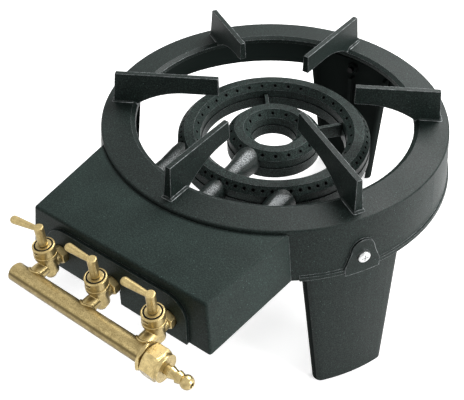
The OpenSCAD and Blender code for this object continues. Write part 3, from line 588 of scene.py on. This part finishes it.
def cast_material(
    name, settings, edge_wear_and_highlight, lift, gloss, soot_and_shade_zone=NO_SOOT_OR_SHADE, shine=0.0, relief=FULL_RELIEF,
    rounding=1.3 * MM, painted_sheen=0.0, rim=0.0, ports=False,
):
    """Heat-resistant coating on a casting.

    edge_wear_and_highlight sets the rubbed edges with their painted highlight, lift the
    brightness of the patches, gloss the mirror share, and soot_and_shade_zone the sooting
    and painted shade inside with its tone. shine lowers the roughness, relief sets the
    depth of the grain, rounding the radius of the edges, painted_sheen the strength of the
    painted sheen on the tubes' tops, and rim how far the painted shade of a hole reaches;
    ports adds the painted shade round the flame ports.
    """
    material, tree = clean_material(name)
    base, worn_and_highlight = toned(settings.coat_colour), toned(settings.worn_and_highlight_colour)
    grain = place_group(tree, "Cast grain", (-1100, 0), Size=settings.grain)
    edges = place_group(tree, "Worn and lit edges", (-1100, -300), Amount=edge_wear_and_highlight, Radius=rounding)
    soot_and_shade = place_group(
        tree, "Soot and shade", (-1100, -500), Radius=soot_and_shade_zone.radius, Slope=soot_and_shade_zone.slope
    )["Mask"]
    # Painted shade inside holes
    hole = place_group(tree, "Hole shade", (-1100, -700), Rim=rim)["Mask"]
    # Painted sheen on the tubes' tops
    painted_sheen_mask = place_group(tree, "Painted sheen", (-1100, -900))["Mask"]
    matt = math_node(tree, "MAXIMUM", soot_and_shade, hole, place=(-800, -600))
    if ports:
        # Painted shade in and round the flame ports
        port_shade = place_group(tree, "Port shade", (-1100, -1100))["Mask"]
        hole = math_node(tree, "MAXIMUM", hole, port_shade, place=(-800, -1100))

    contrast = min(relief / FULL_RELIEF, MOST_CONTRAST)
    grit_stops = [(height, 1 + contrast * (tone - 1)) for height, tone in GRIT_STOPS]
    grit = ramp(tree, (-900, 0), grain["Height"], grit_stops)
    patches = mix_colour(
        tree, (-800, 300), grain["Mottle"], toned(base, DULL_TONE), toned(base, lift)
    )
    powder = mix_colour(tree, (-600, 300), 1.0, patches, grit, "MULTIPLY")
    painted_sheen_share = math_node(tree, "MULTIPLY", painted_sheen_mask, painted_sheen, place=(-800, -900))
    painted_sheen_amount = math_node(tree, "MULTIPLY", painted_sheen_share, grit, place=(-600, -900))
    colour = layered(tree, powder, [
        (grain["Specks"], toned(base, FLECK_TONE)),
        # Rubbed edges with painted highlight
        (edges["Mask"], worn_and_highlight),
        # Sooting and painted shade inside the ring
        (soot_and_shade, toned(base, soot_and_shade_zone.tone)),
        # Painted sheen on the tubes' tops
        (painted_sheen_amount, worn_and_highlight),
        # Painted shade inside holes and round the flame ports
        (hole, toned(base, HOLE_SHADE_TONE)),
    ])

    low, high = (settings.roughness - shine + change for change in CAST_UNEVEN)
    rough = between(tree, (200, -50), grain["Mottle"], low, high)
    skin = add(
        tree, "ShaderNodeBump", (600, -250), Strength=relief, Distance=CAST_GRAIN,
        Height=grain["Height"], Normal=edges["Normal"],
    )
    dress(
        tree,
        Base_Color=colour,
        Roughness=math_node(tree, "MAXIMUM", rough, matt, place=(400, -100)),
        Specular_IOR_Level=gloss,
        Normal=skin.outputs["Normal"],
    )
    return material


def brass_material(name, settings, shine=0.0, marks=0.0, reflection_band=0.0, pitted=1.0, lift=1.0):
    """Cast or drawn brass, tarnished in patches, with painted shade and tarnishing below.

    shine lowers the roughness, marks sets the drawn lines, reflection_band the painted
    reflection, a darker line low on the front of a level tube, pitted the depth of the
    grain and lift the brightness of the metal.
    """
    material, tree = clean_material(name)
    base, stain = toned(settings.colour, lift), toned(settings.stain_colour)
    halfway = tuple((a + b) / 2 for a, b in zip(base, stain))
    grain = place_group(tree, "Cast grain", (-1100, 0), Size=0.9 * MM)
    edges = place_group(tree, "Worn and lit edges", (-1100, -300), Amount=0.7)
    tarnish_and_light = place_group(tree, "Tarnish and painted light", (-1100, 300), Marks=marks, Band=reflection_band)
    pits = ramp(tree, (-800, 0), grain["Height"], [(0.36, 0.9 * pitted), (0.52, 0.0)])
    colour = layered(tree, base, [
        (tarnish_and_light["Patches"], halfway),
        (tarnish_and_light["Marks"], stain),
        (pits, stain),
        # Painted reflection low on the side of the rail
        (tarnish_and_light["Band"], toned(stain, REFLECTION_BAND_TONE)),
        # Painted shade and tarnishing on undersides
        (tarnish_and_light["Underside"], toned(stain, UNDERSIDE_SHADE_TONE)),
        # Brass edges, rubbed and painted with highlight
        (edges["Mask"], toned(base, EDGE_WEAR_AND_HIGHLIGHT_TONE)),
    ])
    low, high = (settings.roughness - shine + change for change in BRASS_UNEVEN)
    skin = add(
        tree, "ShaderNodeBump", (600, -250), Strength=0.5 * pitted, Distance=BRASS_GRAIN,
        Height=grain["Height"], Normal=edges["Normal"],
    )
    dress(
        tree,
        Base_Color=colour,
        Metallic=0.9,
        Roughness=between(tree, (200, -50), tarnish_and_light["Patches"], low, high),
        Normal=skin.outputs["Normal"],
    )
    return material


def zinc_material():
    """Bright zinc on screws and springs; what sits inside the ring is darkened by sooting
    and painted shade.
    """
    material, tree = clean_material("Bright zinc")
    grain = place_group(tree, "Cast grain", (-900, 0), Size=0.9 * MM)
    soot_and_shade = place_group(
        tree, "Soot and shade", (-900, 300), Radius=WALL_SOOT_AND_SHADE.radius, Slope=WALL_SOOT_AND_SHADE.slope
    )
    tone = mix_colour(
        tree, (-300, 200), grain["Mottle"], toned(ZINC_DULL), toned(ZINC_BRIGHT)
    )
    skin = add(
        tree, "ShaderNodeBump", (600, -250), Strength=0.15, Distance=ZINC_GRAIN,
        Height=grain["Height"],
    )
    dress(
        tree,
        # Sooting and painted shade on what sits inside the ring
        Base_Color=mix_colour(tree, (0, 200), soot_and_shade["Mask"], tone, toned(SOOT_AND_SHADE_COLOUR)),
        Metallic=1.0,
        Roughness=0.28,
        Normal=skin.outputs["Normal"],
    )
    return material


def rubber_material():
    """Dull black rubber of the sealing rings."""
    material, tree = clean_material("Black rubber")
    grain = place_group(tree, "Cast grain", (-900, 0), Size=0.6 * MM)
    tone = mix_colour(
        tree, (-300, 200), grain["Mottle"], toned(RUBBER_DARK), toned(RUBBER_PALE)
    )
    dress(tree, Base_Color=tone, Roughness=0.7, Specular_IOR_Level=0.1)
    return material


def assign(node_names, material):
    """Puts one material on CAD nodes in place of their plain one."""
    for name in node_names:
        mesh = NODES[name].data
        mesh.materials.clear()
        mesh.materials.append(material)


# Surfaces


def sweep(sections, closed):
    """Vertices and faces of a closed section carried along a path.

    sections[i, j] is point j of the section at station i. Point j joins point
    j + 1 and the last joins the first; the stations join up in the same way if
    closed, and otherwise each end section is one face.
    """
    stations, around = sections.shape[:2]
    vertices = sections.reshape(-1, 3)
    last = stations if closed else stations - 1
    i, j = np.meshgrid(np.arange(last), np.arange(around), indexing="ij")
    i, j = i.ravel(), j.ravel()
    a = i * around + j
    b = i * around + (j + 1) % around
    c = (i + 1) % stations * around + (j + 1) % around
    d = (i + 1) % stations * around + j
    faces = np.stack([a, b, c, d], 1).tolist()
    if not closed:
        faces.append(list(range(around))[::-1])
        faces.append(list(range((stations - 1) * around, stations * around)))
    return vertices, faces


def build(name, parts, material):
    """One smooth object from several (vertices, faces) parts, riding the stand."""
    vertices, faces, base = [], [], 0
    for points, rows in parts:
        vertices.append(points)
        faces.extend([[base + k for k in row] for row in rows])
        base += len(points)
    mesh = bpy.data.meshes.new(name)
    mesh.from_pydata(np.vstack(vertices).tolist(), [], faces)
    mesh.validate()
    outward(mesh)
    mesh.polygons.foreach_set("use_smooth", np.ones(len(mesh.polygons), dtype=bool))
    mesh.materials.append(material)
    piece = bpy.data.objects.new(name, mesh)
    bpy.context.scene.collection.objects.link(piece)
    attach(piece, STAND)


def outward(mesh):
    """Turns every loose shell of a mesh so that its normals face out."""
    work = bmesh.new()
    work.from_mesh(mesh)
    bmesh.ops.recalc_face_normals(work, faces=work.faces)
    work.to_mesh(mesh)
    work.free()


def turned(points, angle):
    """Points in the ring's own frame turned about its axis and set in the object's frame.

    (x, y, z) goes to (x cos a - y sin a, x sin a + y cos a, z) plus the ring's centre.
    """
    c, s = math.cos(angle), math.sin(angle)
    x, y, z = points[..., 0], points[..., 1], points[..., 2]
    return np.stack(
        [c * x - s * y + RING_CENTRE.x, s * x + c * y + RING_CENTRE.y, z], -1
    )


def fillet_section(radius, sink, steps):
    """Section of a fillet in a corner: out along the floor, up along the wall.

    The free side is a quarter circle about (radius, radius); the other sides
    lie a little inside the floor and the wall.
    """
    turn = np.linspace(0, math.pi / 2, steps)
    arc = np.stack([radius - radius * np.sin(turn), radius - radius * np.cos(turn)], 1)
    corner = [(-sink, radius), (-sink, -sink), (radius, -sink)]
    return np.vstack([arc, corner])


def rib_fillet(foot_half, start, end, radius):
    """Fillet round one rib's foot, as a section carried along its edge.

    The path runs out along y = foot_half from x = start to end with its outward
    direction (cos t, sin t) at t = pi / 2, turns there to t = 0, and comes back as
    its mirror image in y. Its height falls with the flange's bevel near the start.
    """
    along, corner = 12, 8
    x = np.concatenate([np.linspace(start, end, along), np.full(corner - 1, end)])
    turn = np.concatenate(
        [np.full(along - 1, math.pi / 2), np.linspace(math.pi / 2, 0, corner)]
    )
    x = np.concatenate([x, x[::-1]])[:, None]
    side = np.repeat([1.0, -1.0], len(turn))[:, None]
    turn = np.concatenate([turn, turn[::-1]])[:, None]
    drop = BEVEL_DEPTH * np.clip((start + BEVEL_LENGTH - x) / BEVEL_LENGTH, 0, 1)
    out, up = fillet_section(radius, FILLET_SINK, 6).T
    sections = np.stack(
        [
            x + np.cos(turn) * out,
            side * (foot_half + np.sin(turn) * out),
            FLANGE_Z - drop + up,
        ],
        -1,
    )
    return sweep(sections, False)


def ring_of(section, centre, steps):
    """A section of (radius, height) points carried round a vertical axis.

    At turn t, point (r, z) lies at centre + (r cos t, r sin t, z).
    """
    turn = np.linspace(0, 2 * math.pi, steps, endpoint=False)
    r, z = section[:, 0], section[:, 1]
    x = centre[0] + np.cos(turn)[:, None] * r[None, :]
    y = centre[1] + np.sin(turn)[:, None] * r[None, :]
    return sweep(np.stack([x, y, np.broadcast_to(centre[2] + z, x.shape)], -1), True)


def saddle_bead(centre, rail_radius, branch_radius, bead_radius):
    """Round bead along the line where a branch along +Y meets a rail along X.

    At turn t the line is (b cos t, sqrt(r^2 - (b sin t)^2), b sin t); the bead is a
    circle across it, in the plane of the branch's outward direction and its square.
    """
    turn = np.linspace(0, 2 * math.pi, 48, endpoint=False)
    out = np.stack([np.cos(turn), np.zeros_like(turn), np.sin(turn)], 1)
    line = branch_radius * out
    line[:, 1] = np.sqrt(rail_radius**2 - line[:, 2] ** 2)
    along = np.roll(line, -1, 0) - np.roll(line, 1, 0)
    along /= np.linalg.norm(along, axis=1)[:, None]
    side = np.cross(along, out)
    side /= np.linalg.norm(side, axis=1)[:, None]
    first = np.cross(side, along)
    around = np.linspace(0, 2 * math.pi, 10, endpoint=False)[None, :, None]
    circle = np.cos(around) * first[:, None] + np.sin(around) * side[:, None]
    return sweep(np.array(centre) + line[:, None] + bead_radius * circle, True)


# Operators


class RING_OT_shader_groups(bpy.types.Operator):
    """Builds the node groups that the finishes are made from"""

    bl_idname = "ring.shader_groups"
    bl_label = "Build shader groups"

    def execute(self, context):
        cast_grain_group()
        worn_and_lit_edges_group()
        soot_and_shade_group()
        hole_shade_group()
        painted_sheen_group()
        port_shade_group()
        tarnish_and_painted_light_group()
        return {"FINISHED"}


class RING_OT_castings(bpy.types.Operator):
    """Coats the ring, box, ribs, legs, burners and tubes"""

    bl_idname = "ring.castings"
    bl_label = "Coat the castings"

    def execute(self, context):
        settings = context.scene.ring_casting
        shell = cast_material(
            "Coated casting", settings, edge_wear_and_highlight=1.0, lift=1.3, gloss=0.15, soot_and_shade_zone=WALL_SOOT_AND_SHADE
        )
        box = cast_material(
            "Coated box", settings, edge_wear_and_highlight=0.4, lift=2.7, gloss=0.1, relief=0.36
        )
        leg = cast_material(
            "Coated leg", settings, edge_wear_and_highlight=0.8, lift=1.3, gloss=0.15, soot_and_shade_zone=LEG_SOOT_AND_SHADE
        )
        burner = cast_material(
            "Coated burner", settings, edge_wear_and_highlight=0.8, lift=2.1, gloss=0.12,
            relief=1.2, rounding=0.7 * MM, rim=0.14, ports=True,
        )
        assign([n for n in NODES if "burner" in n], burner)
        # Each tube's copy of the coating differs only in the strength of its painted sheen
        for side, painted_sheen in zip(SIDES, (0.35, 0.75, 3.5)):
            tube = cast_material(
                f"Coated {side} tube", settings, edge_wear_and_highlight=0.3, lift=1.3, gloss=0.25,
                shine=0.10, relief=1.2, rounding=0.5 * MM, painted_sheen=painted_sheen,
            )
            assign([f"{side}_tube"], tube)
        assign(["gas_box"], box)
        assign(["ring", *RIB_ANGLES], shell)
        assign(["rear_leg", "left_leg", "right_leg", "leg_nuts"], leg)
        return {"FINISHED"}


class RING_OT_brass(bpy.types.Operator):
    """Gives the rail, taps and nuts their brass"""

    bl_idname = "ring.brass"
    bl_label = "Finish the brass"

    def execute(self, context):
        settings = context.scene.ring_brass
        drawn = brass_material("Drawn brass", settings, marks=0.3, reflection_band=0.95)
        cast = brass_material("Cast brass", settings, marks=0.1, pitted=0.6, lift=1.1)
        turned_brass = brass_material(
            "Turned brass", settings, shine=0.06, pitted=0.35, lift=1.1
        )
        taps = [n for n in NODES if "_tap_" in n and not n.endswith("spring")]
        assign([*taps, "outlet_nuts", "injectors"], cast)
        assign(["gas_rail"], drawn)
        assign(["rail_locknut", "union_nut", "hose_tail"], turned_brass)
        return {"FINISHED"}


class RING_OT_fasteners(bpy.types.Operator):
    """Gives the leg screws and the taps' springs their bright zinc"""

    bl_idname = "ring.fasteners"
    bl_label = "Finish the fasteners"

    def execute(self, context):
        springs = [n for n in NODES if n.endswith("_tap_spring")]
        assign(["leg_screws", *springs], zinc_material())
        return {"FINISHED"}


class RING_OT_rib_fillets(bpy.types.Operator):
    """Casts fillets round the feet of the pan ribs"""

    bl_idname = "ring.rib_fillets"
    bl_label = "Fillet the ribs"

    def execute(self, context):
        radius = context.scene.ring_casting.fillet
        parts = []
        for angle in RIB_ANGLES.values():
            points, faces = rib_fillet(RIB_HALF - RIB_SINK, RIB_START, RIB_END, radius)
            parts.append((turned(points, math.radians(angle)), faces))
        build("rib_fillets", parts, bpy.data.materials["Coated casting"])
        return {"FINISHED"}


class RING_OT_bonnet_rings(bpy.types.Operator):
    """Lays a dark sealing ring in the groove of each bonnet"""

    bl_idname = "ring.bonnet_rings"
    bl_label = "Lay the bonnet rings"

    def execute(self, context):
        turn = np.linspace(0, math.pi, 9)
        middle, half = (SEAL_INNER + SEAL_OUTER) / 2, (SEAL_OUTER - SEAL_INNER) / 2
        top = np.stack([middle + half * np.cos(turn), SEAL_RISE * np.sin(turn)], 1)
        foot = [(SEAL_INNER, -SEAL_HEIGHT), (SEAL_OUTER, -SEAL_HEIGHT)]
        section = np.vstack([top, foot])
        parts = []
        for side in SIDES:
            low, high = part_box(f"{side}_tap_bonnet")
            base = high.z + SEAL_STAND - SEAL_RISE
            centre = ((low.x + high.x) / 2, (low.y + high.y) / 2, base)
            parts.append(ring_of(section, centre, 72))
        build("bonnet_rings", parts, rubber_material())
        return {"FINISHED"}


class RING_OT_branch_fillets(bpy.types.Operator):
    """Runs a bead of solder round each branch where it meets the gas rail"""

    bl_idname = "ring.branch_fillets"
    bl_label = "Solder the branches"

    def execute(self, context):
        low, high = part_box("gas_rail")
        axis_y, axis_z = (low.y + high.y) / 2, (low.z + high.z) / 2
        radius = (high.z - low.z) / 2
        parts = []
        for side in SIDES:
            low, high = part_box(f"{side}_tap_bonnet")
            centre = ((low.x + high.x) / 2, axis_y, axis_z)
            parts.append(saddle_bead(centre, radius, BRANCH_RADIUS, BEAD_RADIUS))
        build("branch_solder", parts, bpy.data.materials["Cast brass"])
        return {"FINISHED"}


class RING_OT_stage(bpy.types.Operator):
    """Sets the floor, the lamps and the camera"""

    bl_idname = "ring.stage"
    bl_label = "Set the stage"

    def execute(self, context):
        scene = context.scene
        scene.view_settings.view_transform = "Standard"
        make_floor()
        make_world(scene)
        make_lamps()
        make_camera(scene, scene.ring_stage)
        return {"FINISHED"}


def show_by_ray(tree, output, lit, seen):
    """Joins two shaders to an output, seen for the rays that show the background.

    Those are camera, glossy and transmission rays; lit serves all others.
    """
    path = add(tree, "ShaderNodeLightPath", (-300, 300)).outputs
    direct = math_node(tree, "MAXIMUM", path["Is Camera Ray"], path["Is Glossy Ray"])
    factor = math_node(tree, "MAXIMUM", direct, path["Is Transmission Ray"])
    pick = add(
        tree, "ShaderNodeMixShader", (600, 0), factor, lit.outputs[0], seen.outputs[0]
    )
    add(tree, output, (900, 0), Surface=pick.outputs[0])


def make_floor():
    """A flat square of pale floor under the legs, lifted to white where it is seen."""
    half = FLOOR_HALF
    corners = [(-half, -half, 0), (half, -half, 0), (half, half, 0), (-half, half, 0)]
    mesh = bpy.data.meshes.new("floor")
    mesh.from_pydata(corners, [], [(0, 1, 2, 3)])
    floor = bpy.data.objects.new("floor", mesh)
    bpy.context.scene.collection.objects.link(floor)
    material, tree = clean_material("Pale floor")
    matt = add(tree, "ShaderNodeBsdfDiffuse", (0, 100), Color=FLOOR_COLOUR)
    glow = add(tree, "ShaderNodeEmission", (0, -100), Strength=FLOOR_GLOW)
    total = add(tree, "ShaderNodeAddShader", (300, 0), matt.outputs[0], glow.outputs[0])
    show_by_ray(tree, "ShaderNodeOutputMaterial", matt, total)
    mesh.materials.append(material)


def make_world(scene):
    """White where it is seen, and a dimmer even light on the object."""
    world = bpy.data.worlds.new("Studio")
    scene.world = world
    world.use_nodes = True
    tree = world.node_tree
    tree.nodes.clear()
    lit = add(tree, "ShaderNodeBackground", (300, 100), Color=WHITE, Strength=WORLD_LIGHT)
    seen = add(tree, "ShaderNodeBackground", (300, -100), Color=WHITE, Strength=1.0)
    show_by_ray(tree, "ShaderNodeOutputWorld", lit, seen)


def make_lamps():
    """Soft square lamps: one overhead and behind, one to the right, one low in front."""
    aim = RING_CENTRE + Vector((0, 0, FLANGE_Z * LAMP_AIM))
    for name, place, size, power in LAMPS:
        lamp = bpy.data.lights.new(name, "AREA")
        lamp.size = size
        lamp.energy = power
        obj = bpy.data.objects.new(name, lamp)
        bpy.context.scene.collection.objects.link(obj)
        obj.location = RING_CENTRE + Vector(place)
        obj.rotation_mode = "QUATERNION"
        obj.rotation_quaternion = (aim - obj.location).to_track_quat("-Z", "Y")


def make_camera(scene, settings):
    """Camera at the photograph's angle; a small shift sets its axis off centre."""
    azimuth, elevation = settings.azimuth, settings.elevation
    back = Vector((
        math.sin(azimuth) * math.cos(elevation),
        -math.cos(azimuth) * math.cos(elevation),
        math.sin(elevation),
    ))
    right = Vector((math.cos(azimuth), math.sin(azimuth), 0))
    up = back.cross(right)
    target = RING_CENTRE + Vector((0, 0, FLANGE_Z))
    data = bpy.data.cameras.new("Camera")
    data.sensor_fit = "HORIZONTAL"
    data.sensor_width = SENSOR_WIDTH
    data.lens = settings.focal_px / PHOTO_W * data.sensor_width
    data.shift_x = (PHOTO_W / 2 - settings.centre_x) / PHOTO_W
    data.shift_y = (settings.centre_y - PHOTO_H / 2) / PHOTO_W
    data.clip_start, data.clip_end = CLIP_START, CLIP_END
    camera = bpy.data.objects.new("Camera", data)
    scene.collection.objects.link(camera)
    camera.location = (
        target + back * settings.distance + right * settings.aside + up * settings.above
    )
    camera.rotation_mode = "QUATERNION"
    camera.rotation_quaternion = (-back).to_track_quat("-Z", "Y")
    scene.camera = camera


class RING_PT_panel(bpy.types.Panel):
    """Lists the boiling ring's settings and steps"""

    bl_idname = "RING_PT_panel"
    bl_label = "Boiling Ring"
    bl_space_type = "VIEW_3D"
    bl_region_type = "UI"
    bl_category = "Boiling Ring"

    def draw(self, context):
        scene = context.scene
        for group in (scene.ring_casting, scene.ring_brass, scene.ring_stage):
            for key in group.__annotations__:
                self.layout.prop(group, key)
        for operator in OPERATORS:
            self.layout.operator(operator.bl_idname)


GROUPS = {
    "ring_casting": CastingSettings,
    "ring_brass": BrassSettings,
    "ring_stage": StageSettings,
}
OPERATORS = [
    RING_OT_shader_groups,
    RING_OT_castings,
    RING_OT_brass,
    RING_OT_fasteners,
    RING_OT_rib_fillets,
    RING_OT_bonnet_rings,
    RING_OT_branch_fillets,
    RING_OT_stage,
]


def register():
    """Registers the settings, operators and panel."""
    for name, group in GROUPS.items():
        bpy.utils.register_class(group)
        setattr(bpy.types.Scene, name, PointerProperty(type=group))
    for operator in OPERATORS:
        bpy.utils.register_class(operator)
    bpy.utils.register_class(RING_PT_panel)


def unregister():
    """Removes what register added."""
    bpy.utils.unregister_class(RING_PT_panel)
    for operator in reversed(OPERATORS):
        bpy.utils.unregister_class(operator)
    for name, group in GROUPS.items():
        delattr(bpy.types.Scene, name)
        bpy.utils.unregister_class(group)


def main():
    """Registers the add-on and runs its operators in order."""
    register()
    for operator in OPERATORS:
        group, action = operator.bl_idname.split(".")
        getattr(getattr(bpy.ops, group), action)()


if __name__ == "__main__":
    main()
